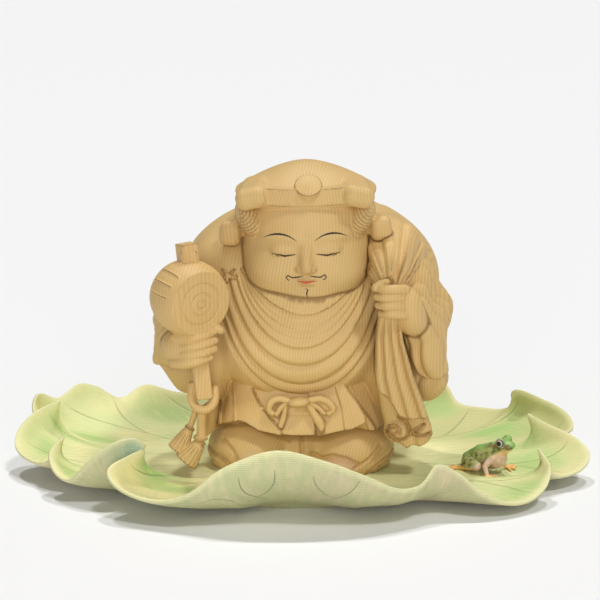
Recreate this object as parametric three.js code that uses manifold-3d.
// A carved wooden god of fortune with sack and mallet, standing on a painted lotus leaf with a tree frog.
// Millimetres, +Z up. X runs to the figure's left hand, Y to its back. The origin is the centre of the
// flat underside that the leaf rests on.
import * as THREE from "three";
import Module from "manifold-3d";
import { mergeVertices } from "three/addons/utils/BufferGeometryUtils.js";
import { edgeTable, triTable } from "three/addons/objects/MarchingCubes.js";

// Driving dimensions
const FIGURE_HEIGHT = 185;
const LEAF_LENGTH = 347;
const LEAF_DEPTH = 234;
const LEAF_RIM_RISE = 47;
const LEAF_CORE_THICKNESS = 9;
const LEAF_EDGE_THICKNESS = 3;
const SEAT_MARGIN = 4;
const FOOT_PAD_SHARE = 0.48;
const FROG_LENGTH = 36;
const FROG_SHARES = [0.634, -0.205];
const FROG_HEADING = -38;
const RESTING_GAP = 0.3;
const FROG_PLACE = [(FROG_SHARES[0] * LEAF_LENGTH) / 2, (FROG_SHARES[1] * LEAF_DEPTH) / 2];

// Fineness of the faceted solids
const FIGURE_STEP = 1.7;
const FIGURE_TRIANGLES = 6400;
const FROG_STEP = 0.62;
const FROG_TRIANGLES = 640;
const LEAF_COLUMNS = 88;
const LEAF_ROWS = 7;

// Small helpers on numbers
const clamp = (value, low, high) => Math.min(high, Math.max(low, value));
const mix = (from, to, share) => from + (to - from) * share;
const smooth = (low, high, value) => {
  const share = clamp((value - low) / (high - low), 0, 1);
  return share * share * (3 - 2 * share);
};

// A form is a function of a point that gives its signed distance, negative inside.
// smoothUnion joins two forms and smoothCut keeps what they share, with the seam rounded over a width.
const smoothUnion = (a, b, width) => {
  const share = Math.max(width - Math.abs(a - b), 0) / width;
  return Math.min(a, b) - (share * share * width) / 4;
};
const smoothCut = (a, b, width) => -smoothUnion(-a, -b, width);

// The rotation that carries a point into a form's own axes, from turns in degrees about X, Y and Z.
function intoAxes(turn) {
  const angles = turn.map(THREE.MathUtils.degToRad);
  const matrix = new THREE.Matrix4().makeRotationFromEuler(new THREE.Euler(...angles, "XYZ"));
  const m = matrix.elements;
  return (x, y, z) => [
    m[0] * x + m[1] * y + m[2] * z,
    m[4] * x + m[5] * y + m[6] * z,
    m[8] * x + m[9] * y + m[10] * z,
  ];
}

function ellipsoid(centre, radii, turn = null) {
  const [cx, cy, cz] = centre;
  const [rx, ry, rz] = radii;
  const into = turn && intoAxes(turn);
  return (x, y, z) => {
    let [px, py, pz] = [x - cx, y - cy, z - cz];
    if (into) [px, py, pz] = into(px, py, pz);
    const scaled = Math.hypot(px / rx, py / ry, pz / rz);
    const gradient = Math.hypot(px / (rx * rx), py / (ry * ry), pz / (rz * rz));
    return gradient === 0 ? -Math.min(rx, ry, rz) : (scaled * (scaled - 1)) / gradient;
  };
}

function box(centre, halves, turn, rounding) {
  const [cx, cy, cz] = centre;
  const into = intoAxes(turn);
  return (x, y, z) => {
    const local = into(x - cx, y - cy, z - cz).map((v, i) => Math.abs(v) - halves[i] + rounding);
    const outside = Math.hypot(...local.map((v) => Math.max(v, 0)));
    return outside + Math.min(Math.max(...local), 0) - rounding;
  };
}

// A limb or cord: balls of the given radii joined along a polyline of points.
function limb(points, radii) {
  const radiusAt = (i) => (Array.isArray(radii) ? radii[i] : radii);
  return (x, y, z) => {
    let nearest = Infinity;
    for (let i = 0; i + 1 < points.length; i++) {
      const [a, b] = [points[i], points[i + 1]];
      const [dx, dy, dz] = [b[0] - a[0], b[1] - a[1], b[2] - a[2]];
      const along = ((x - a[0]) * dx + (y - a[1]) * dy + (z - a[2]) * dz) / (dx * dx + dy * dy + dz * dz);
      const t = clamp(along, 0, 1);
      const gap = Math.hypot(x - a[0] - t * dx, y - a[1] - t * dy, z - a[2] - t * dz);
      nearest = Math.min(nearest, gap - mix(radiusAt(i), radiusAt(i + 1), t));
    }
    return nearest;
  };
}

// How deep lines drawn on the front, as points across and up, cut into a form.
function cutLines(lines, width, depth) {
  const forms = lines.map((points) => limb(points.map(([across, up]) => [across, 0, up]), 0));
  return (x, y, z) => {
    if (y > 0) return 0;
    const gap = Math.min(...forms.map((form) => form(x, 0, z)));
    return depth * Math.exp(-Math.pow(gap / width, 2)) * smooth(0, -0.08, y);
  };
}

// Points of a smooth curve through the given ones.
function curveThrough(points, count) {
  const curve = new THREE.CatmullRomCurve3(points.map((p) => new THREE.Vector3(...p)));
  return curve.getPoints(count).map((p) => p.toArray());
}

// The value at a place in a rising table of [place, value], straight between its entries.
function tabled(table, at) {
  let i = 0;
  while (i < table.length - 2 && at > table[i + 1][0]) i++;
  const [from, to] = [table[i], table[i + 1]];
  return mix(from[1], to[1], clamp((at - from[0]) / (to[0] - from[0]), 0, 1));
}

const mirrored = ([x, y, z]) => [-x, y, z];

// Joins forms one after another. Each entry is a form and the width of its seam.
const joined = (entries, x, y, z) => {
  let d = entries[0][0](x, y, z);
  for (let i = 1; i < entries.length; i++) d = smoothUnion(d, entries[i][0](x, y, z), entries[i][1]);
  return d;
};
const join = (entries) => (x, y, z) => joined(entries, x, y, z);

// Fold profiles over a running phase, 0 on the ridge and 1 in the valley at whole phases: an even pleat, and
// a lapped fold that falls steeply below its ridge, as hanging cloth does.
const pleat = (phase) => 1 - Math.pow(Math.abs(Math.sin(Math.PI * phase)), 0.55);
const lap = (phase) => {
  const along = phase - Math.floor(phase);
  return along < 0.28 ? 1 - smooth(0, 0.28, along) : smooth(0.28, 1, along);
};

// The figure's forms, in shares of its height, from the soles at z = 0 to the crown at z = 1.

// The robe's creases on the middle line, from the belly's underside up: height and depth.
const ROBE_CREASES = [
  [0.2, 0.012], [0.262, 0.012], [0.304, 0.015], [0.372, 0.014], [0.429, 0.011], [0.46, 0.005],
  [0.486, 0.006], [0.508, 0.003], [0.526, 0.002], [0.6, 0.0],
];
const ROBE_MASS = join([
  [ellipsoid([-0.01, -0.075, 0.412], [0.285, 0.218, 0.188]), 0],
  [ellipsoid([0, -0.035, 0.57], [0.3, 0.195, 0.15]), 0.07],
  [ellipsoid([-0.27, -0.01, 0.605], [0.13, 0.13, 0.115]), 0.08],
  [ellipsoid([0.27, 0.0, 0.59], [0.13, 0.13, 0.115]), 0.08],
  [ellipsoid([0, 0.06, 0.42], [0.28, 0.15, 0.24]), 0.06],
  [ellipsoid([-0.275, -0.07, 0.35], [0.06, 0.12, 0.15]), 0.03],
  [ellipsoid([0.25, -0.07, 0.34], [0.06, 0.12, 0.15]), 0.03],
]);

// Chest and belly in folds that hang in deep bows from shoulder to shoulder.
function robe() {
  const hung = 0.665;
  const sag = 0.6;
  const widening = 0.42;
  const phases = ROBE_CREASES.map(([height], i) => [height, i]);
  const bowAt = (lowest, across) => {
    const span = 0.276 - widening * (lowest - 0.268);
    const u = clamp(across / span, -0.995, 0.995);
    return { span, u, slack: Math.pow(1 - u * u, sag) };
  };
  return (x, y, z) => {
    const mass = ROBE_MASS(x, y, z);
    if (y > 0.06 || z > 0.7) return mass;
    const across = x + 0.002;
    let [low, high] = [0.1, 0.6];
    for (let i = 0; i < 8; i++) {
      const middle = (low + high) / 2;
      if (hung - (hung - middle) * bowAt(middle, across).slack < z) low = middle;
      else high = middle;
    }
    let lowest = (low + high) / 2;
    const { span, u, slack } = bowAt(lowest, across);
    const pull = (2 * sag * (hung - lowest) * slack * u) / (span * (1 - u * u));
    const rate = slack + pull * u * widening;
    lowest = clamp(lowest - (hung - (hung - lowest) * slack - z) / rate, 0.1, 0.6);
    const crowding = Math.hypot(1, pull) / rate;
    const fade = smooth(0.225, 0.25, lowest) * smooth(0.06, -0.04, y) * smooth(0.7, 0.63, z);
    const narrowing = mix(0.3, 1, smooth(3.6, 1.2, crowding)) * smooth(0.995, 0.985, Math.abs(u));
    return mass + tabled(ROBE_CREASES, lowest) * narrowing * fade * lap(tabled(phases, lowest));
  };
}

// The neck band, a raised layer over the chest down to its edge, and its crossed ends.
function collar() {
  const middle = 0.012;
  const lowest = 0.531;
  const band = (x, y, z) => {
    const apart = x - middle;
    const edge = lowest + (apart > 0 ? 3.7 : 2.9) * apart * apart;
    return smoothCut(ROBE_MASS(x, y, z) - 0.008, edge - z, 0.004);
  };
  return join([
    [band, 0],
    [limb([[-0.25, -0.13, 0.66], [-0.2, -0.163, 0.632]], 0.01), 0.002],
    [limb([[-0.247, -0.137, 0.632], [-0.198, -0.16, 0.66]], 0.01), 0.002],
  ]);
}

// The skirt's hem, as degrees round from the front and height.
const HEMLINE = [
  [-180, 0.172], [-110, 0.165], [-80, 0.15], [-67, 0.147], [-47, 0.178], [-43, 0.176], [-33, 0.154],
  [-9, 0.141], [12, 0.141], [38, 0.16], [44.5, 0.174], [47, 0.15], [55, 0.144], [80, 0.15],
  [110, 0.165], [180, 0.172],
];
// Edges of cloth that lie over the skirt in front: points up and across, the side that is raised, its height.
const SKIRT_EDGES = [
  { line: [[0.17, -0.213], [0.28, -0.222], [0.36, -0.225]], side: -1, height: 0.018 },
  { line: [[0.158, -0.062], [0.197, -0.1], [0.24, -0.135], [0.3, -0.165]], side: -1, height: 0.021 },
  { line: [[0.13, 0.05], [0.21, 0.032], [0.26, 0.02]], side: 1, height: 0.017 },
  { line: [[0.13, 0.25], [0.19, 0.21], [0.225, 0.185], [0.3, 0.13]], side: -1, height: 0.018 },
  { line: [[0.13, -0.262], [0.26, -0.262], [0.34, -0.26]], side: -1, height: 0.012 },
];

// An oval frustum from the waist to the hem, with a flat panel in front and flaps beside it.
function skirt() {
  const waist = 0.35;
  const panel = 0.3;
  const fullness = 2.4;
  return (x, y, z) => {
    const turn = Math.atan2(x, -(y + 0.02));
    const hem = tabled(HEMLINE, THREE.MathUtils.radToDeg(turn));
    const down = clamp((waist - z) / (waist - hem), -0.3, 1.1);
    const halfWidth = mix(0.222, 0.312, down);
    const halfDepth = mix(0.165, 0.236, down);
    const wide = Math.abs(x / halfWidth) ** fullness + Math.abs((y + 0.02) / halfDepth) ** fullness;
    const oval = Math.pow(wide, 1 / fullness);
    const beside = smooth(1.0, 1.3, Math.abs(turn));
    const deep = 0.02 * beside * lap((Math.abs(turn) - panel) / (0.26 + 0.12 * Math.abs(turn)));
    let raised = 0;
    for (const { line, side, height } of SKIRT_EDGES) {
      const apart = (x - tabled(line, z)) * side;
      raised += height * smooth(-0.004, 0.004, apart) * Math.exp(-Math.max(apart, 0) / 0.05);
    }
    raised *= smooth(-0.02, -0.1, y);
    const folded = oval * halfDepth - halfDepth + deep * smooth(0.05, 0.75, down) - raised + 0.009;
    return smoothCut(smoothCut(folded, hem - z, 0.005), z - waist - 0.05, 0.02);
  };
}

// Gathered trousers, cut flat at the soles, with creases at the ankles and toes in front.
function legs() {
  const mass = join([
    [ellipsoid([-0.155, -0.055, 0.055], [0.152, 0.175, 0.108]), 0],
    [ellipsoid([0.15, -0.055, 0.055], [0.15, 0.175, 0.108]), 0.03],
    [ellipsoid([0, -0.045, 0.06], [0.1, 0.155, 0.095]), 0.02],
    [ellipsoid([-0.155, -0.04, 0.03], [0.148, 0.18, 0.06]), 0.02],
    [ellipsoid([0.15, -0.04, 0.03], [0.146, 0.18, 0.06]), 0.02],
    [ellipsoid([-0.16, -0.2, 0.03], [0.055, 0.045, 0.034]), 0.004],
    [ellipsoid([0.12, -0.205, 0.03], [0.06, 0.045, 0.034]), 0.004],
  ]);
  const creases = cutLines([
    [[-0.25, 0.104], [-0.222, 0.082], [-0.208, 0.06], [-0.205, 0.035]],
    [[-0.3, 0.06], [-0.255, 0.05], [-0.215, 0.02]],
    [[0, 0.16], [-0.002, 0.1], [0.004, 0.03]],
    [[0.03, 0.068], [0.064, 0.052], [0.1, 0.066], [0.141, 0.06], [0.175, 0.041]],
    [[0.25, 0.086], [0.212, 0.052], [0.167, 0.028]],
    [[0.29, 0.05], [0.245, 0.03], [0.21, 0.006]],
  ], 0.007, 0.012);
  return (x, y, z) => {
    const side = x < 0 ? x + 0.155 : 0.15 - x;
    const gathers = pleat((z + side * 0.55) / 0.055) * smooth(0.1, 0.03, z) * smooth(-0.04, -0.1, side);
    return mass(x, y, z) + 0.009 * gathers * smooth(0.06, -0.06, y) + creases(x, y, z);
  };
}

// The tied belt: a knot, two ribbon loops and two ends lying on the skirt.
function bow() {
  const ribbon = (points, deep, radii) => {
    const curve = curveThrough(points.map(([across, up]) => [across, -deep, up]), 12);
    return limb(curve, curve.map((_, i) => tabled([[0, radii[0]], [0.5, radii[1]], [1, radii[2]]], i / 12)));
  };
  return join([
    [ellipsoid([-0.01, -0.262, 0.253], [0.035, 0.022, 0.0155], [0, -6, 0]), 0],
    [ribbon([[-0.044, 0.256], [-0.07, 0.262], [-0.094, 0.254], [-0.103, 0.236], [-0.1, 0.22], [-0.09, 0.213]],
      0.252, [0.01, 0.0115, 0.008]), 0.002],
    [ribbon([[-0.046, 0.249], [-0.062, 0.238], [-0.073, 0.222], [-0.08, 0.209]], 0.247, [0.008, 0.0085, 0.007]),
      0.002],
    [ribbon([[0.024, 0.257], [0.057, 0.262], [0.083, 0.251], [0.097, 0.232], [0.092, 0.218], [0.08, 0.214]],
      0.252, [0.01, 0.0115, 0.008]), 0.002],
    [ribbon([[0.024, 0.247], [0.046, 0.237], [0.06, 0.224], [0.07, 0.213]], 0.247, [0.008, 0.0085, 0.007]), 0.002],
    [ribbon([[0.02, 0.24], [0.042, 0.205], [0.058, 0.172], [0.056, 0.15]], 0.244, [0.009, 0.0155, 0.013]), 0.002],
    [ribbon([[-0.05, 0.238], [-0.058, 0.2], [-0.068, 0.17]], 0.243, [0.007, 0.0095, 0.009]), 0.002],
  ]);
}

// The sack on his back. Its folds draw together towards the fist that holds its neck.
function sack() {
  const mass = join([
    [ellipsoid([0.024, 0.13, 0.57], [0.43, 0.225, 0.3], [0, -2, 0]), 0],
    [ellipsoid([0.03, 0.16, 0.36], [0.33, 0.19, 0.17]), 0.1],
    [limb([[0.272, -0.228, 0.6], [0.276, -0.185, 0.665], [0.282, -0.04, 0.69]], [0.05, 0.075, 0.115]), 0.09],
  ]);
  return (x, y, z) => {
    const [across, up] = [x - 0.272, z - 0.575];
    const away = Math.hypot(across, up, (y + 0.24) * 0.8);
    const folds = lap(Math.atan2(across, up) * 2.6 + 0.35) * smooth(0.55, 0.14, away) * smooth(0.03, 0.09, away);
    const [besideNeck, belowNeck] = [x - 0.2, z - 0.95];
    const spread = Math.hypot(besideNeck, belowNeck);
    const back = lap(Math.atan2(besideNeck, -belowNeck) * 2.4) * smooth(0.1, 0.24, y) * smooth(0.85, 0.3, spread);
    return mass(x, y, z) + 0.014 * folds * smooth(0.12, -0.02, y) + 0.022 * back;
  };
}

// Edges of the sack's loose end as height and place across, from the bottom up.
const END_LEFT = [
  [0.097, 0.32], [0.118, 0.293], [0.164, 0.26], [0.224, 0.244], [0.285, 0.234], [0.333, 0.226], [0.456, 0.228],
  [0.56, 0.24],
];
const END_RIGHT = [
  [0.1, 0.4], [0.142, 0.419], [0.2, 0.402], [0.245, 0.386], [0.333, 0.352], [0.44, 0.32], [0.56, 0.3],
];
// Hems of its two layers, and the lines cut where the cloth rolls, as places across and up.
const UPPER_HEM = [
  [0.22, 0.3], [0.239, 0.288], [0.261, 0.273], [0.287, 0.243], [0.3, 0.215], [0.32, 0.204], [0.42, 0.2],
];
const UNDER_HEM = [
  [0.24, 0.2], [0.26, 0.164], [0.293, 0.118], [0.33, 0.097], [0.345, 0.109], [0.371, 0.105], [0.403, 0.118],
  [0.419, 0.142],
];
const CURL_LINES = [
  [[0.302, 0.204], [0.325, 0.192], [0.337, 0.163], [0.332, 0.139], [0.313, 0.13], [0.286, 0.136], [0.269, 0.153],
    [0.274, 0.17], [0.291, 0.175], [0.306, 0.164], [0.302, 0.15], [0.289, 0.15]],
  [[0.339, 0.142], [0.361, 0.162], [0.383, 0.176]],
  [[0.344, 0.15], [0.372, 0.142], [0.41, 0.149]],
];

// The sack's loose end below his left fist: an upper layer, and an under layer that rolls into a curl.
function sackEnd() {
  const top = 0.56;
  const layer = (hem, thick, forward, pitch, depth) => (x, y, z) => {
    const down = clamp((top - z) / (top - 0.12), 0, 1);
    const left = tabled(END_LEFT, z);
    const right = tabled(END_RIGHT, z);
    const deep = mix(0.036, thick, down);
    const across = Math.abs(x - (left + right) / 2) / ((right - left) / 2);
    const ahead = Math.abs((y + forward + 0.025 * (1 - down)) / deep);
    const oval = Math.cbrt(across ** 3 + ahead ** 3);
    const folds = depth * lap(((x - left) / (right - left)) * pitch + 0.15) * smooth(0, 0.2, down);
    const low = tabled(hem, x);
    return smoothCut(smoothCut((oval - 1) * deep + folds, (low - z) * 0.6, 0.004), z - top, 0.02);
  };
  const whole = join([
    [layer(UPPER_HEM, 0.064, 0.222, 3.6, 0.013), 0],
    [layer(UNDER_HEM, 0.05, 0.2, 1.6, 0.008), 0.002],
    [ellipsoid([0.303, -0.222, 0.158], [0.046, 0.046, 0.046]), 0.006],
    [ellipsoid([0.374, -0.222, 0.156], [0.036, 0.036, 0.034], [0, -20, 0]), 0.006],
  ]);
  const rolls = cutLines(CURL_LINES, 0.006, 0.016);
  return (x, y, z) => whole(x, y, z) + rolls(x, y, z);
}

// A wide sleeve: shoulder to elbow to wrist, and a hanging drop below the lip of its opening.
function sleeve(arm) {
  const mass = join([[limb(arm.joints, arm.radii), 0], ...arm.front.map((drop) => [drop, 0.04])]);
  const steepness = 0.5;
  return (x, y, z) => {
    const wave = x * arm.foldSlope + y * 1.5 + z * arm.foldLean + 0.012 * Math.sin(z * 26);
    const folds = 0.013 * lap(wave / 0.062) * smooth(0.7, 0.6, z) * smooth(0.14, 0.02, y);
    const front = smoothCut(mass(x, y, z) + folds, (tabled(arm.lip, x) - z) * steepness, 0.006);
    return smoothUnion(front, arm.back(x, y, z) + folds * 0.5, 0.003);
  };
}

const RIGHT_ARM = {
  joints: [[-0.27, -0.01, 0.6], [-0.4, -0.01, 0.475], [-0.385, -0.17, 0.43]],
  radii: [0.115, 0.085, 0.06],
  front: [
    ellipsoid([-0.395, -0.075, 0.39], [0.078, 0.12, 0.08], [0, -22, 0]),
    limb([[-0.445, -0.07, 0.348], [-0.37, -0.085, 0.29]], [0.034, 0.052]),
  ],
  lip: [[-0.5, 0.33], [-0.45, 0.335], [-0.4, 0.36], [-0.34, 0.385], [-0.3, 0.39]],
  back: join([
    [limb([[-0.442, -0.055, 0.35], [-0.37, -0.07, 0.288]], [0.034, 0.05]), 0],
    [ellipsoid([-0.335, -0.055, 0.33], [0.085, 0.1, 0.09], [0, -30, 0]), 0.03],
  ]),
  foldSlope: 1.0,
  foldLean: 0.9,
};
const LEFT_ARM = {
  joints: [[0.29, 0.0, 0.6], [0.4, 0.0, 0.5], [0.36, -0.16, 0.485]],
  radii: [0.118, 0.092, 0.06],
  front: [
    limb([[0.33, -0.05, 0.6], [0.345, -0.17, 0.545]], [0.1, 0.055]),
    ellipsoid([0.38, -0.07, 0.42], [0.083, 0.125, 0.12], [0, 4, 0]),
    ellipsoid([0.395, -0.09, 0.36], [0.06, 0.105, 0.09]),
    ellipsoid([0.425, -0.07, 0.31], [0.047, 0.09, 0.04]),
  ],
  lip: [
    [0.2, 0.5], [0.315, 0.46], [0.331, 0.411], [0.35, 0.355], [0.369, 0.32], [0.399, 0.304], [0.436, 0.298],
    [0.47, 0.312], [0.55, 0.34],
  ],
  back: join([
    [ellipsoid([0.395, -0.045, 0.285], [0.08, 0.105, 0.08], [0, -12, 0]), 0],
    [ellipsoid([0.36, -0.04, 0.38], [0.07, 0.1, 0.1]), 0.03],
  ]),
  foldSlope: -1.0,
  foldLean: 0.25,
};

// A closed hand. The fingers are stacked up the shaft that it holds.
function fist(hand) {
  const finger = (row) => {
    const shift = hand.stack.map((v) => v * row);
    shift[0] += hand.longer[row];
    return limb(hand.finger.map((p) => p.map((v, axis) => v + shift[axis])), hand.fingerRadii);
  };
  return join([
    [ellipsoid(hand.palm, hand.palmRadii, hand.palmTurn), 0],
    [limb(hand.wrist, hand.wristRadii), 0.03],
    ...[0, 1, 2, 3].map((row) => [finger(row), 0.0025]),
    [limb(hand.thumb, hand.thumbRadii), 0.004],
  ]);
}

const RIGHT_FIST = {
  palm: [-0.365, -0.255, 0.43],
  palmRadii: [0.068, 0.054, 0.06],
  palmTurn: [0, 8, 0],
  wrist: [[-0.385, -0.225, 0.425], [-0.39, -0.14, 0.42]],
  wristRadii: [0.05, 0.055],
  finger: [[-0.39, -0.28, 0.464], [-0.35, -0.313, 0.468], [-0.305, -0.318, 0.478], [-0.275, -0.298, 0.486]],
  fingerRadii: [0.018, 0.0165, 0.015, 0.0125],
  stack: [0.0, 0.0005, -0.0265],
  longer: [0.0, 0.006, 0.004, -0.008],
  thumb: [[-0.3, -0.27, 0.5], [-0.268, -0.296, 0.502], [-0.248, -0.3, 0.49]],
  thumbRadii: [0.016, 0.015, 0.012],
};
const LEFT_FIST = {
  palm: [0.332, -0.24, 0.545],
  palmRadii: [0.046, 0.05, 0.075],
  palmTurn: [0, -12, 0],
  wrist: [[0.345, -0.22, 0.505], [0.362, -0.14, 0.475]],
  wristRadii: [0.042, 0.05],
  finger: [[0.318, -0.266, 0.612], [0.292, -0.294, 0.618], [0.254, -0.301, 0.62], [0.232, -0.284, 0.619]],
  fingerRadii: [0.0165, 0.015, 0.0138, 0.0115],
  stack: [0.002, 0.0005, -0.0262],
  longer: [0.0, -0.005, -0.002, 0.006],
  thumb: [[0.268, -0.255, 0.632], [0.242, -0.278, 0.632], [0.222, -0.286, 0.621]],
  thumbRadii: [0.014, 0.013, 0.011],
};

// A barrel-shaped mallet head on a square shaft, with a ring cord and two cords below the hand.
function mallet() {
  const centre = [-0.347, -0.275, 0.588];
  const radius = 0.115;
  const halfLength = 0.072;
  const into = intoAxes([8, 0, 34]);
  const sumOf = (values, term) => values.reduce((total, value) => total + term(value), 0);
  const head = (x, y, z) => {
    const [across, along, up] = into(x - centre[0], y - centre[1], z - centre[2]);
    const out = Math.hypot(across, up);
    const barrel = out - radius * (1.03 - 0.15 * Math.pow(along / halfLength, 2));
    const dome = 0.006 * smooth(0.1, 0, out);
    const rings = 0.005 * sumOf([0.062, 0.036], (r) => Math.exp(-Math.pow((out - r) / 0.005, 2)));
    const turn = Math.atan2(across, up);
    const ridges = sumOf([-0.62, -0.95, -1.28], (a) => Math.exp(-Math.pow(((turn - a) * out) / 0.005, 2)));
    const strip = 0.0055 * ridges * smooth(0.055, 0.045, Math.abs(along)) * smooth(0.05, 0.09, out);
    return smoothCut(barrel - strip, Math.abs(along) - halfLength - dome + rings, 0.005);
  };
  const shaftTop = [-0.352, -0.27, 0.735];
  const shaftEnd = [-0.306, -0.275, 0.268];
  const middle = shaftTop.map((v, axis) => (v + shaftEnd[axis]) / 2);
  const lean = THREE.MathUtils.radToDeg(Math.atan2(shaftTop[0] - shaftEnd[0], shaftTop[2] - shaftEnd[2]));
  const halfShaft = (shaftTop[2] - shaftEnd[2]) / 2;
  const ringCord = curveThrough([
    [-0.344, -0.25, 0.305], [-0.344, -0.268, 0.262], [-0.326, -0.286, 0.24], [-0.295, -0.29, 0.238],
    [-0.274, -0.276, 0.258], [-0.272, -0.256, 0.295],
  ], 15);
  return join([
    [head, 0],
    [box([-0.35, -0.27, 0.708], [0.027, 0.027, 0.05], [0, lean, 30], 0.003), 0.002],
    [box(middle, [0.025, 0.024, halfShaft], [0, lean, 12], 0.003), 0.002],
    [limb(ringCord, 0.0135), 0.002],
    [limb([[-0.312, -0.262, 0.225], [-0.317, -0.256, 0.145]], [0.0155, 0.015]), 0.002],
    [limb([[-0.334, -0.25, 0.225], [-0.347, -0.246, 0.182], [-0.354, -0.246, 0.17]], 0.0105), 0.002],
    [box([-0.291, -0.175, 0.185], [0.014, 0.085, 0.05], [0, 0, -16], 0.01), 0.004],
    [ellipsoid([-0.319, -0.257, 0.13], [0.024, 0.024, 0.016], [0, 10, 0]), 0.0015],
    [ellipsoid([-0.353, -0.246, 0.166], [0.018, 0.019, 0.011], [0, 30, 0]), 0.0015],
  ]);
}

// A brush of strands that widens from its knot to a flat end.
function tassel(start, end, radii) {
  const [from, to] = [start, end].map((p) => new THREE.Vector3(...p));
  const axis = to.clone().sub(from).normalize();
  const total = to.distanceTo(from);
  return (x, y, z) => {
    const point = new THREE.Vector3(x, y, z).sub(from);
    const along = point.dot(axis);
    const share = clamp(along / total, 0, 1);
    const out = point.addScaledVector(axis, -along).length();
    const body = out - mix(radii[0], radii[1], Math.pow(share, 0.8)) + 0.001;
    return smoothCut(body, Math.max(along - total, -along), 0.003);
  };
}

// The head in its own axes: origin at its middle, turned down a little and tilted to his right.
const HEAD_PLACE = [0.012, -0.085, 0.725];
const HEAD_TURN = [7, -1, 0];

function face() {
  const pairs = (centre, radii, width, turn = [0, 0, 0]) => [
    [ellipsoid(centre, radii, turn), width],
    [ellipsoid(mirrored(centre), radii, [turn[0], -turn[1], -turn[2]]), width],
  ];
  const skull = join([
    [ellipsoid([0, 0, 0.005], [0.2, 0.17, 0.168]), 0],
    [ellipsoid([0, -0.005, 0.105], [0.185, 0.152, 0.13]), 0.05],
    [ellipsoid([0, -0.035, -0.062], [0.187, 0.138, 0.108]), 0.06],
    ...pairs([0.09, -0.1, -0.058], [0.08, 0.066, 0.064], 0.05),
    [ellipsoid([0, -0.145, -0.122], [0.045, 0.03, 0.028]), 0.035],
    [limb([[0, -0.168, 0.04], [0, -0.194, -0.022]], [0.012, 0.019]), 0.022],
    ...pairs([0.02, -0.182, -0.027], [0.013, 0.014, 0.011], 0.008),
    [ellipsoid([0, -0.177, -0.06], [0.034, 0.014, 0.008]), 0.008],
    [ellipsoid([0, -0.176, -0.075], [0.026, 0.014, 0.008]), 0.008],
    ...pairs([0.068, -0.15, 0.026], [0.04, 0.022, 0.019], 0.012),
    ...pairs([0.072, -0.134, 0.07], [0.06, 0.03, 0.02], 0.03, [0, 0, 12]),
  ]);
  const lidLine = limb([[0.032, -0.176, 0.016], [0.066, -0.174, 0.012], [0.102, -0.154, 0.018]], 0.003);
  return (x, y, z) => smoothCut(skull(x, y, z), -lidLine(Math.abs(x), y, z), 0.004);
}

// Long ears with heavy lobes, and locks of hair between ear and cap.
function earsAndHair() {
  const ear = (side) => {
    const lobe = [side * 0.237, -0.04, 0.056 + side * 0.004];
    const shell = join([
      [limb([[side * 0.198, -0.02, 0.13], [side * 0.21, -0.025, 0.055]], 0.022), 0],
      [box(lobe, [0.034, 0.026, 0.04], [0, side * -4, 0], 0.024), 0.008],
    ]);
    const hollow = limb([[side * 0.208, -0.056, 0.125], [side * 0.218, -0.056, 0.1]], [0.011, 0.009]);
    return (x, y, z) => smoothCut(shell(x, y, z), -hollow(x, y, z), 0.006);
  };
  const mass = join([
    [ear(1), 0],
    [ear(-1), 0.006],
    [ellipsoid([0.168, -0.05, 0.105], [0.043, 0.076, 0.07], [0, 20, 0]), 0.004],
    [ellipsoid([-0.168, -0.05, 0.105], [0.043, 0.076, 0.07], [0, -20, 0]), 0.004],
  ]);
  return (x, y, z) => {
    const out = Math.hypot(Math.abs(x) - 0.215, z - 0.15);
    const strands = pleat(out / 0.021) * smooth(0.125, 0.115, out) * smooth(0.212, 0.2, Math.abs(x));
    return mass(x, y, z) + 0.004 * strands * smooth(-0.03, -0.06, y);
  };
}

// A wide soft cap: a low crown down to its corners, a brow band, puffs at its ends and a round badge.
function cap() {
  const crown = 0.272;
  const corner = [0.217, 0.187];
  const outline = 2.6;
  const badgeInto = intoAxes([-52, 0, 0]);
  const pillow = (x, y, z) => {
    const out = Math.hypot(x - 0.003, (y - 0.01) * 1.1);
    const fallen = (crown - corner[1]) * Math.pow(out / corner[0], 1.6);
    const top = (z - crown + fallen) * 0.86;
    const half = mix(0.207, 0.224, smooth(0.13, 0.19, z));
    const wide = Math.abs((x - 0.003) / half) ** outline + Math.abs((y - 0.02) / 0.168) ** outline;
    const plan = (Math.pow(wide, 1 / outline) - 1) * 0.168;
    return smoothCut(smoothCut(top, plan, 0.007), 0.148 - z, 0.03);
  };
  const band = (x, y, z) => {
    const oval = (Math.hypot(x / 0.2, (y - 0.01) / 0.168) - 1) * 0.168;
    const strip = Math.max(oval, Math.abs(z - 0.194 - 0.1 * x * x) - 0.027);
    return smoothCut(strip, Math.max(Math.abs(x) - 0.137, y), 0.004);
  };
  const puff = (side) => box([side * 0.155, -0.062, 0.19], [0.05, 0.1, 0.034], [0, side * 14, side * 8], 0.03);
  const badge = (x, y, z) => {
    const [across, along, up] = badgeInto(x - 0.011, y + 0.127, z - 0.2175);
    const out = Math.hypot(across, up);
    const raised = 0.004 * smooth(0.042, 0, out);
    return smoothCut(out - 0.0425, Math.abs(along - 0.009) - 0.021 - raised, 0.005);
  };
  return join([
    [pillow, 0],
    [band, 0.003],
    [puff(1), 0.01],
    [puff(-1), 0.01],
    [badge, 0.003],
  ]);
}

function headGroup() {
  const into = intoAxes(HEAD_TURN);
  const whole = join([
    [face(), 0],
    [earsAndHair(), 0.005],
    [cap(), 0.004],
  ]);
  return (x, y, z) => whole(...into(x - HEAD_PLACE[0], y - HEAD_PLACE[1], z - HEAD_PLACE[2]));
}

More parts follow.
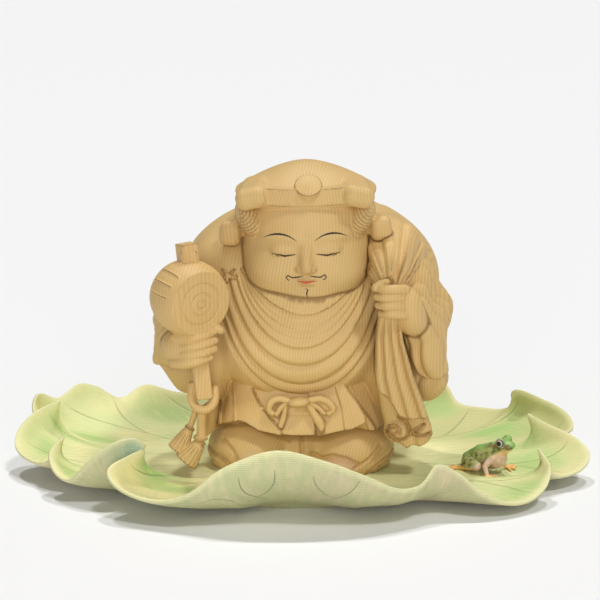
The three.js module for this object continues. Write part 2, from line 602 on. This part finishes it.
// The whole figure. Carved seams between its parts stay narrow.
function figureForms() {
  return [
    [sack(), 0],
    [robe(), 0.006],
    [legs(), 0.006],
    [skirt(), 0.004],
    [collar(), 0.003],
    [sleeve(RIGHT_ARM), 0.006],
    [sleeve(LEFT_ARM), 0.006],
    [sackEnd(), 0.005],
    [bow(), 0.003],
    [mallet(), 0.004],
    [tassel([-0.322, -0.257, 0.118], [-0.366, -0.262, 0.062], [0.0185, 0.04]), 0.003],
    [tassel([-0.355, -0.246, 0.162], [-0.393, -0.244, 0.096], [0.014, 0.034]), 0.003],
    [fist(RIGHT_FIST), 0.004],
    [fist(LEFT_FIST), 0.004],
    [headGroup(), 0.005],
  ];
}

const FIGURE_REACH = new THREE.Box3(
  new THREE.Vector3(-0.54, -0.47, -0.02),
  new THREE.Vector3(0.54, 0.42, 1.04),
);

// The frog's forms, in shares of its length, facing +X, with its feet on z = 0.
function frogForms() {
  const pair = (points, radii) => [
    [limb(points, radii), 0.03],
    [limb(points.map(([x, y, z]) => [x, -y, z]), radii), 0.03],
  ];
  const toes = (centre, reach, towards) =>
    [-0.6, 0, 0.6].flatMap((spread) => {
      const turn = towards + spread;
      const tip = [centre[0] + reach * Math.cos(turn), centre[1] + reach * Math.sin(turn), 0.02];
      return pair([centre, tip], [0.024, 0.026]);
    });
  return [
    [limb([[-0.35, 0, 0.15], [-0.1, 0, 0.27], [0.16, 0, 0.37], [0.34, 0, 0.5]], [0.11, 0.165, 0.165, 0.11]), 0],
    [ellipsoid([0.37, 0, 0.51], [0.15, 0.13, 0.085], [0, -14, 0]), 0.05],
    [ellipsoid([0.2, 0, 0.27], [0.17, 0.16, 0.17]), 0.06],
    ...pair([[0.3, 0.09, 0.57], [0.31, 0.105, 0.575]], [0.062, 0.06]),
    ...pair([[-0.29, 0.14, 0.15], [-0.04, 0.25, 0.14], [-0.35, 0.22, 0.05]], [0.1, 0.08, 0.045]),
    ...pair([[-0.35, 0.22, 0.05], [-0.42, 0.26, 0.03]], [0.045, 0.032]),
    ...pair([[0.18, 0.13, 0.3], [0.12, 0.24, 0.16], [0.21, 0.3, 0.03]], [0.07, 0.046, 0.032]),
    ...toes([0.21, 0.3, 0.025], 0.14, 0.5),
    ...toes([-0.42, 0.26, 0.025], 0.09, 2.7),
  ];
}

const FROG_REACH = new THREE.Box3(
  new THREE.Vector3(-0.56, -0.48, -0.1),
  new THREE.Vector3(0.58, 0.48, 0.68),
);

// Marching cubes over joined forms, kept above a floor. Blocks that the surface can't reach are filled from
// their middle sample, and a block leaves out the forms that are too far off to matter in it.
function surfaceOf(entries, floor, reach, step) {
  const block = 4;
  const size = reach.getSize(new THREE.Vector3());
  const count = size.toArray().map((v) => Math.ceil(v / step / block) * block + 1);
  const [nx, ny, nz] = count;
  const at = (i, j, k) => i + nx * (j + ny * k);
  const place = (i, j, k) => [reach.min.x + i * step, reach.min.y + j * step, reach.min.z + k * step];
  const samples = new Float32Array(nx * ny * nz);
  const halfBlock = block / 2;
  const safe = Math.sqrt(3) * halfBlock * step * 1.6;
  for (let k = 0; k < nz; k += block)
    for (let j = 0; j < ny; j += block)
      for (let i = 0; i < nx; i += block) {
        const [mx, my, mz] = place(i + halfBlock, j + halfBlock, k + halfBlock);
        const apart = entries.map(([form]) => form(mx, my, mz));
        const nearest = Math.min(...apart);
        const active = entries.filter((_, n) => apart[n] < nearest + 2 * safe + entries[n][1]);
        const near = Math.abs(nearest) < safe || (nearest < safe && Math.abs(mz - floor) < safe);
        for (let c = k; c < Math.min(k + block, nz); c++)
          for (let b = j; b < Math.min(j + block, ny); b++)
            for (let a = i; a < Math.min(i + block, nx); a++) {
              const [x, y, z] = place(a, b, c);
              const d = near ? joined(active, x, y, z) : nearest;
              samples[at(a, b, c)] = Math.max(d, floor - z);
            }
      }
  const corners = [[0, 0, 0], [1, 0, 0], [1, 1, 0], [0, 1, 0], [0, 0, 1], [1, 0, 1], [1, 1, 1], [0, 1, 1]];
  const edges = [[0, 1], [1, 2], [2, 3], [3, 0], [4, 5], [5, 6], [6, 7], [7, 4], [0, 4], [1, 5], [2, 6], [3, 7]];
  const points = [];
  const made = new Map();
  const triangles = [];
  const pointOn = (i, j, k, edge) => {
    const [from, to] = edges[edge].map((c) => corners[c]);
    const a = at(i + from[0], j + from[1], k + from[2]);
    const b = at(i + to[0], j + to[1], k + to[2]);
    const key = Math.min(a, b) * 3 + (from[0] !== to[0] ? 0 : from[1] !== to[1] ? 1 : 2);
    if (!made.has(key)) {
      const share = clamp(samples[a] / (samples[a] - samples[b]), 0.02, 0.98);
      const start = place(i + from[0], j + from[1], k + from[2]);
      made.set(key, points.length);
      points.push(start.map((v, axis) => v + share * step * (to[axis] - from[axis])));
    }
    return made.get(key);
  };
  for (let k = 0; k < nz - 1; k++)
    for (let j = 0; j < ny - 1; j++)
      for (let i = 0; i < nx - 1; i++) {
        let sign = 0;
        corners.forEach(([a, b, c], bit) => {
          if (samples[at(i + a, j + b, k + c)] < 0) sign |= 1 << bit;
        });
        if (!edgeTable[sign]) continue;
        for (let n = sign * 16; triTable[n] !== -1; n += 3)
          triangles.push([0, 2, 1].map((m) => pointOn(i, j, k, triTable[n + m])));
      }
  return { points, triangles };
}

// Edge collapse by quadric error, down to a number of triangles. The surface stays closed.
function simplify({ points, triangles }, wanted) {
  const quadrics = points.map(() => new Float64Array(10));
  const around = points.map(() => new Set());
  const alive = triangles.map(() => true);
  const subtract = (a, b) => [a[0] - b[0], a[1] - b[1], a[2] - b[2]];
  const cross = (a, b) => [a[1] * b[2] - a[2] * b[1], a[2] * b[0] - a[0] * b[2], a[0] * b[1] - a[1] * b[0]];
  const dot = (a, b) => a[0] * b[0] + a[1] * b[1] + a[2] * b[2];
  const normalOf = (p, q, r) => cross(subtract(q, p), subtract(r, p));
  triangles.forEach((t, index) => {
    const n = normalOf(...t.map((v) => points[v]));
    const area = Math.hypot(...n) || 1e-12;
    const [a, b, c] = n.map((v) => v / area);
    const d = -dot([a, b, c], points[t[0]]);
    const terms = [a * a, a * b, a * c, a * d, b * b, b * c, b * d, c * c, c * d, d * d];
    t.forEach((v) => {
      around[v].add(index);
      terms.forEach((term, i) => (quadrics[v][i] += term * area));
    });
  });
  const errorAt = (q, [x, y, z]) =>
    q[0] * x * x + 2 * q[1] * x * y + 2 * q[2] * x * z + 2 * q[3] * x + q[4] * y * y +
    2 * q[5] * y * z + 2 * q[6] * y + q[7] * z * z + 2 * q[8] * z + q[9];
  const best = (u, v) => {
    const q = quadrics[u].map((term, i) => term + quadrics[v][i]);
    const m = new THREE.Matrix3().set(q[0], q[1], q[2], q[1], q[4], q[5], q[2], q[5], q[7]);
    const trace = q[0] + q[4] + q[7];
    const half = points[u].map((c, axis) => (c + points[v][axis]) / 2);
    const choices = [half, points[u], points[v]];
    if (Math.abs(m.determinant()) > 1e-4 * trace * trace * trace) {
      const solved = new THREE.Vector3(-q[3], -q[6], -q[8]).applyMatrix3(m.invert()).toArray();
      if (Math.hypot(...subtract(solved, half)) < 2 * Math.hypot(...subtract(points[u], points[v])))
        choices.unshift(solved);
    }
    const errors = choices.map((p) => errorAt(q, p));
    const lowest = errors.indexOf(Math.min(...errors));
    return { cost: errors[lowest] + 1e-9 * trace, place: choices[lowest] };
  };
  const version = new Int32Array(points.length);
  const heap = [];
  const swap = (i, j) => ([heap[i], heap[j]] = [heap[j], heap[i]]);
  const push = (entry) => {
    heap.push(entry);
    for (let i = heap.length - 1; i > 0 && heap[i].cost < heap[(i - 1) >> 1].cost; i = (i - 1) >> 1)
      swap(i, (i - 1) >> 1);
  };
  const pop = () => {
    const first = heap[0];
    const last = heap.pop();
    if (heap.length) {
      heap[0] = last;
      for (let i = 0, child = 1; child < heap.length; child = 2 * i + 1) {
        if (child + 1 < heap.length && heap[child + 1].cost < heap[child].cost) child++;
        if (heap[child].cost >= heap[i].cost) break;
        swap(i, child);
        i = child;
      }
    }
    return first;
  };
  const neighbours = (v) => {
    const found = new Set();
    around[v].forEach((t) => triangles[t].forEach((w) => found.add(w)));
    found.delete(v);
    return found;
  };
  const offer = (u, v) => push({ u, v, versions: [version[u], version[v]], ...best(u, v) });
  triangles.forEach((t) =>
    t.forEach((v, i) => {
      const w = t[(i + 1) % 3];
      if (v < w) offer(v, w);
    }),
  );
  const keepsFacing = (v, gone, place) =>
    [...around[v]].every((t) => {
      const corners = triangles[t];
      if (corners.includes(gone)) return true;
      const before = normalOf(...corners.map((c) => points[c]));
      const after = normalOf(...corners.map((c) => (c === v ? place : points[c])));
      return dot(before, after) > 0.25 * Math.hypot(...before) * Math.hypot(...after);
    });
  let left = triangles.length;
  while (left > wanted && heap.length) {
    const { u, v, versions, place } = pop();
    if (version[u] !== versions[0] || version[v] !== versions[1]) continue;
    const [nearU, nearV] = [neighbours(u), neighbours(v)];
    if ([...nearU].filter((w) => nearV.has(w)).length !== 2) continue;
    if (!keepsFacing(u, v, place) || !keepsFacing(v, u, place)) continue;
    points[u] = place;
    quadrics[v].forEach((term, i) => (quadrics[u][i] += term));
    [...around[v]].forEach((t) => {
      if (triangles[t].includes(u)) {
        alive[t] = false;
        left -= 1;
        triangles[t].forEach((w) => around[w].delete(t));
      } else {
        triangles[t] = triangles[t].map((w) => (w === v ? u : w));
        around[u].add(t);
      }
    });
    version[u] += 1;
    version[v] = -1;
    neighbours(u).forEach((w) => offer(Math.min(u, w), Math.max(u, w)));
  }
  return { points, triangles: triangles.filter((_, t) => alive[t]) };
}

function geometryOf({ points, triangles }) {
  const used = [...new Set(triangles.flat())];
  const place = new Map(used.map((v, i) => [v, i]));
  const geometry = new THREE.BufferGeometry();
  geometry.setAttribute("position", new THREE.Float32BufferAttribute(used.flatMap((v) => points[v]), 3));
  geometry.setIndex(triangles.flatMap((t) => t.map((v) => place.get(v))));
  return geometry;
}

// Sculpts forms given in shares of a real size, cut flat at a floor.
function sculpt(forms, floor, reach, size, step, wanted) {
  const surface = simplify(surfaceOf(forms, floor, reach, step / size), wanted);
  surface.points = surface.points.map((p) => p.map((v) => v * size));
  return geometryOf(surface);
}

// The leaf's rim, lobe by lobe from the right end, turning towards the back. Each knot is its place as shares
// of the leaf's half length and half depth, its height as a share of the rim's rise, and how far the edge has
// rolled up there, in degrees from flat.
const RIM_LOBES = {
  rightEnd: [
    [0.85, -0.37, 0.26, 50], [0.95, -0.27, 0.26, 55], [0.99, -0.13, 0.36, 65], [0.955, -0.03, 0.47, 75],
    [0.88, 0.05, 0.56, 90], [0.795, 0.1, 0.68, 125],
  ],
  rightBack: [
    [0.87, 0.17, 0.4, 80], [0.965, 0.24, 0.43, 65], [0.965, 0.38, 0.53, 70], [0.9, 0.5, 0.62, 85],
    [0.79, 0.57, 0.71, 120],
  ],
  backRight: [
    [0.77, 0.63, 0.47, 70], [0.68, 0.77, 0.38, 45], [0.6, 0.85, 0.4, 50], [0.55, 0.9, 0.6, 80],
    [0.49, 0.9, 0.5, 60],
  ],
  back: [
    [0.36, 0.93, 0.42, 40], [0.2, 0.97, 0.7, 75], [0.03, 0.97, 0.5, 45], [-0.16, 0.98, 0.72, 75],
    [-0.33, 0.95, 0.45, 45],
  ],
  backLeft: [
    [-0.48, 0.92, 0.5, 65], [-0.6, 0.88, 0.62, 75], [-0.69, 0.8, 0.5, 50], [-0.77, 0.72, 0.7, 70],
    [-0.83, 0.63, 0.78, 80], [-0.9, 0.52, 0.66, 70],
  ],
  leftBack: [[-0.96, 0.45, 0.74, 100], [-0.965, 0.33, 0.6, 70], [-0.9, 0.26, 0.55, 60]],
  leftEnd: [
    [-0.865, 0.2, 0.79, 120], [-0.94, 0.17, 0.7, 85], [-0.99, 0.09, 0.56, 65], [-1, -0.02, 0.42, 55],
    [-0.95, -0.17, 0.34, 50], [-0.87, -0.27, 0.35, 50],
  ],
  leftFront: [
    [-0.805, -0.29, 0.64, 115], [-0.84, -0.37, 0.54, 75], [-0.825, -0.47, 0.4, 55], [-0.77, -0.55, 0.33, 50],
    [-0.7, -0.59, 0.57, 75], [-0.62, -0.58, 0.79, 90], [-0.56, -0.54, 0.82, 110],
  ],
  front: [
    [-0.515, -0.53, 0.7, 115], [-0.56, -0.62, 0.65, 90], [-0.62, -0.73, 0.57, 60], [-0.59, -0.83, 0.46, 45],
    [-0.48, -0.92, 0.36, 40], [-0.37, -0.97, 0.45, 60], [-0.24, -1, 0.8, 80], [-0.08, -1, 0.99, 88],
    [0.07, -1, 0.87, 82], [0.2, -0.98, 0.68, 72], [0.3, -0.93, 0.5, 60],
  ],
  frontRight: [
    [0.37, -0.86, 0.48, 75], [0.435, -0.77, 0.65, 105], [0.51, -0.77, 0.54, 75], [0.58, -0.79, 0.34, 50],
  ],
  rightFront: [
    [0.67, -0.76, 0.2, 25], [0.75, -0.68, 0.19, 25], [0.805, -0.58, 0.31, 55], [0.815, -0.48, 0.46, 85],
    [0.785, -0.42, 0.58, 118],
  ],
};
const RIM = Object.values(RIM_LOBES).flat();

// Smooth values all round the leaf through the rim's knots.
function rimCurves() {
  const place = ([x, y, height]) =>
    new THREE.Vector3((LEAF_LENGTH / 2) * x, (LEAF_DEPTH / 2) * y, LEAF_RIM_RISE * height);
  const edge = new THREE.CatmullRomCurve3(RIM.map(place), true, "centripetal");
  const rollAt = (around) => {
    const along = around * RIM.length;
    const knot = Math.floor(along) % RIM.length;
    return mix(RIM[knot][3], RIM[(knot + 1) % RIM.length][3], smooth(0, 1, along - Math.floor(along)));
  };
  return { edge, rollAt };
}

// Half size of the figure's sole, and so of the flat seat that it stands on.
const SOLE = [FIGURE_HEIGHT * 0.305, FIGURE_HEIGHT * 0.225];
const SEAT = SOLE.map((half) => half + SEAT_MARGIN);
const SEAT_BACK = FIGURE_HEIGHT * 0.045;
const SEAT_SHARE = 0.3;
const EASE_SHARE = 0.36;
const ROLL_SHARE = 0.42;

// The leaf's upper surface: a flat seat, then an easy rise, then the rolled rim. across runs 0 to 1 outwards.
function leafTop(curves, around, across) {
  const rim = curves.edge.getPoint(around);
  const roll = THREE.MathUtils.degToRad(curves.rollAt(around));
  const bearing = Math.atan2(rim.y / SEAT[1], rim.x / SEAT[0]);
  const seatEdge = new THREE.Vector3(
    SEAT[0] * Math.cos(bearing),
    SEAT[1] * Math.sin(bearing) - SEAT_BACK,
    LEAF_CORE_THICKNESS,
  );
  if (across <= SEAT_SHARE) {
    const centre = new THREE.Vector3(0, -SEAT_BACK, LEAF_CORE_THICKNESS);
    return centre.lerp(seatEdge, across / SEAT_SHARE);
  }
  const span = Math.hypot(rim.x - seatEdge.x, rim.y - seatEdge.y);
  const outward = rim.clone().sub(seatEdge).setZ(0).normalize();
  const reach = Math.min(span * ROLL_SHARE, LEAF_RIM_RISE * 1.3);
  const before = rim.clone().addScaledVector(outward, -reach * Math.cos(roll));
  before.z = Math.max(rim.z - reach * Math.sin(roll), LEAF_EDGE_THICKNESS * 1.4);
  const leaving = seatEdge.clone().addScaledVector(outward, span * EASE_SHARE);
  const curve = new THREE.CubicBezierCurve3(seatEdge, leaving, before, rim);
  return curve.getPoint((across - SEAT_SHARE) / (1 - SEAT_SHARE));
}

function leafGeometry() {
  const curves = rimCurves();
  const rows = [];
  const nudge = 1e-3;
  const thicknessAt = (across) =>
    mix(LEAF_CORE_THICKNESS, LEAF_EDGE_THICKNESS, smooth(SEAT_SHARE, 0.85, across));
  const upper = (column, across) => leafTop(curves, (column % LEAF_COLUMNS) / LEAF_COLUMNS, across);
  const lower = (column, across) => {
    const around = column / LEAF_COLUMNS;
    const here = leafTop(curves, around, across);
    const out = leafTop(curves, around, across - nudge).sub(here).negate();
    const along = leafTop(curves, (around + nudge) % 1, across).sub(here);
    const normal = out.cross(along).normalize();
    const under = here.addScaledVector(normal, -thicknessAt(across));
    if (across < FOOT_PAD_SHARE) under.z = 0;
    return under.setZ(Math.max(under.z, 0));
  };
  const shareOf = (row) => mix(SEAT_SHARE, 1, Math.pow(row / LEAF_ROWS, 0.85));
  for (let row = 0; row <= LEAF_ROWS; row++) rows.push((column) => upper(column, shareOf(row)));
  for (let row = LEAF_ROWS; row >= 0; row--) rows.push((column) => lower(column, shareOf(row)));
  const points = rows.flatMap((row) => Array.from({ length: LEAF_COLUMNS }, (_, c) => row(c).toArray()));
  const triangles = [];
  for (let row = 0; row + 1 < rows.length; row++)
    for (let c = 0; c < LEAF_COLUMNS; c++) {
      const next = (c + 1) % LEAF_COLUMNS;
      const [a, b] = [row * LEAF_COLUMNS + c, row * LEAF_COLUMNS + next];
      const [d, e] = [a + LEAF_COLUMNS, b + LEAF_COLUMNS];
      triangles.push([a, d, b], [b, d, e]);
    }
  const cap = (row, height, upwards) => {
    const middle = points.push([0, -SEAT_BACK, height]) - 1;
    for (let c = 0; c < LEAF_COLUMNS; c++) {
      const [a, b] = [row * LEAF_COLUMNS + c, row * LEAF_COLUMNS + ((c + 1) % LEAF_COLUMNS)];
      triangles.push(upwards ? [middle, a, b] : [middle, b, a]);
    }
  };
  cap(0, LEAF_CORE_THICKNESS, true);
  cap(rows.length - 1, 0, false);
  return geometryOf({ points, triangles });
}

// Solids for the cut where the frog sits
const wasm = await Module();
wasm.setup();

function solidOf(geometry) {
  const bare = new THREE.BufferGeometry().setAttribute("position", geometry.getAttribute("position"));
  bare.setIndex(geometry.index);
  const merged = mergeVertices(bare, 1e-4);
  return new wasm.Manifold(
    new wasm.Mesh({
      numProp: 3,
      vertProperties: new Float32Array(merged.attributes.position.array),
      triVerts: new Uint32Array(merged.index.array),
    }),
  );
}

function geometryFrom(solid) {
  const { vertProperties, triVerts } = solid.getMesh();
  const geometry = new THREE.BufferGeometry();
  geometry.setAttribute("position", new THREE.BufferAttribute(vertProperties, 3));
  geometry.setIndex(new THREE.BufferAttribute(triVerts, 1));
  return geometry;
}

function meshOf(name, geometry, colour, roughness) {
  geometry.computeVertexNormals();
  const material = new THREE.MeshStandardMaterial({ color: colour, roughness, metalness: 0 });
  const mesh = new THREE.Mesh(geometry, material);
  mesh.name = name;
  return mesh;
}

// The frog stands on the leaf's surface under it, and its underside is cut to that surface.
function frogOn(leaf) {
  const above = new THREE.Vector3(FROG_PLACE[0], FROG_PLACE[1], LEAF_RIM_RISE * 2);
  const down = new THREE.Vector3(0, 0, -1);
  leaf.updateMatrixWorld(true);
  const hit = new THREE.Raycaster(above, down).intersectObject(leaf)[0];
  const geometry = sculpt(frogForms(), -0.06, FROG_REACH, FROG_LENGTH, FROG_STEP, FROG_TRIANGLES);
  const upright = new THREE.Quaternion().setFromUnitVectors(new THREE.Vector3(0, 0, 1), hit.face.normal);
  const heading = new THREE.Quaternion().setFromAxisAngle(
    new THREE.Vector3(0, 0, 1),
    THREE.MathUtils.degToRad(FROG_HEADING),
  );
  geometry.applyQuaternion(heading).applyQuaternion(upright);
  geometry.translate(hit.point.x, hit.point.y, hit.point.z);
  const ground = solidOf(leaf.geometry).translate([0, 0, RESTING_GAP]);
  const pieces = solidOf(geometry).subtract(ground).decompose();
  pieces.sort((a, b) => b.volume() - a.volume());
  return geometryFrom(pieces[0]);
}

const figure = meshOf(
  "daikoku_figure",
  sculpt(figureForms(), 0, FIGURE_REACH, FIGURE_HEIGHT, FIGURE_STEP, FIGURE_TRIANGLES),
  0xd2ac74,
  0.62,
);
figure.position.set(0, 0, LEAF_CORE_THICKNESS + RESTING_GAP);
const leaf = meshOf("lotus_leaf", leafGeometry(), 0xc3d29a, 0.7);
const frog = meshOf("tree_frog", frogOn(leaf), 0x88994f, 0.45);

const part = new THREE.Group();
part.add(figure, leaf, frog);

export default part;
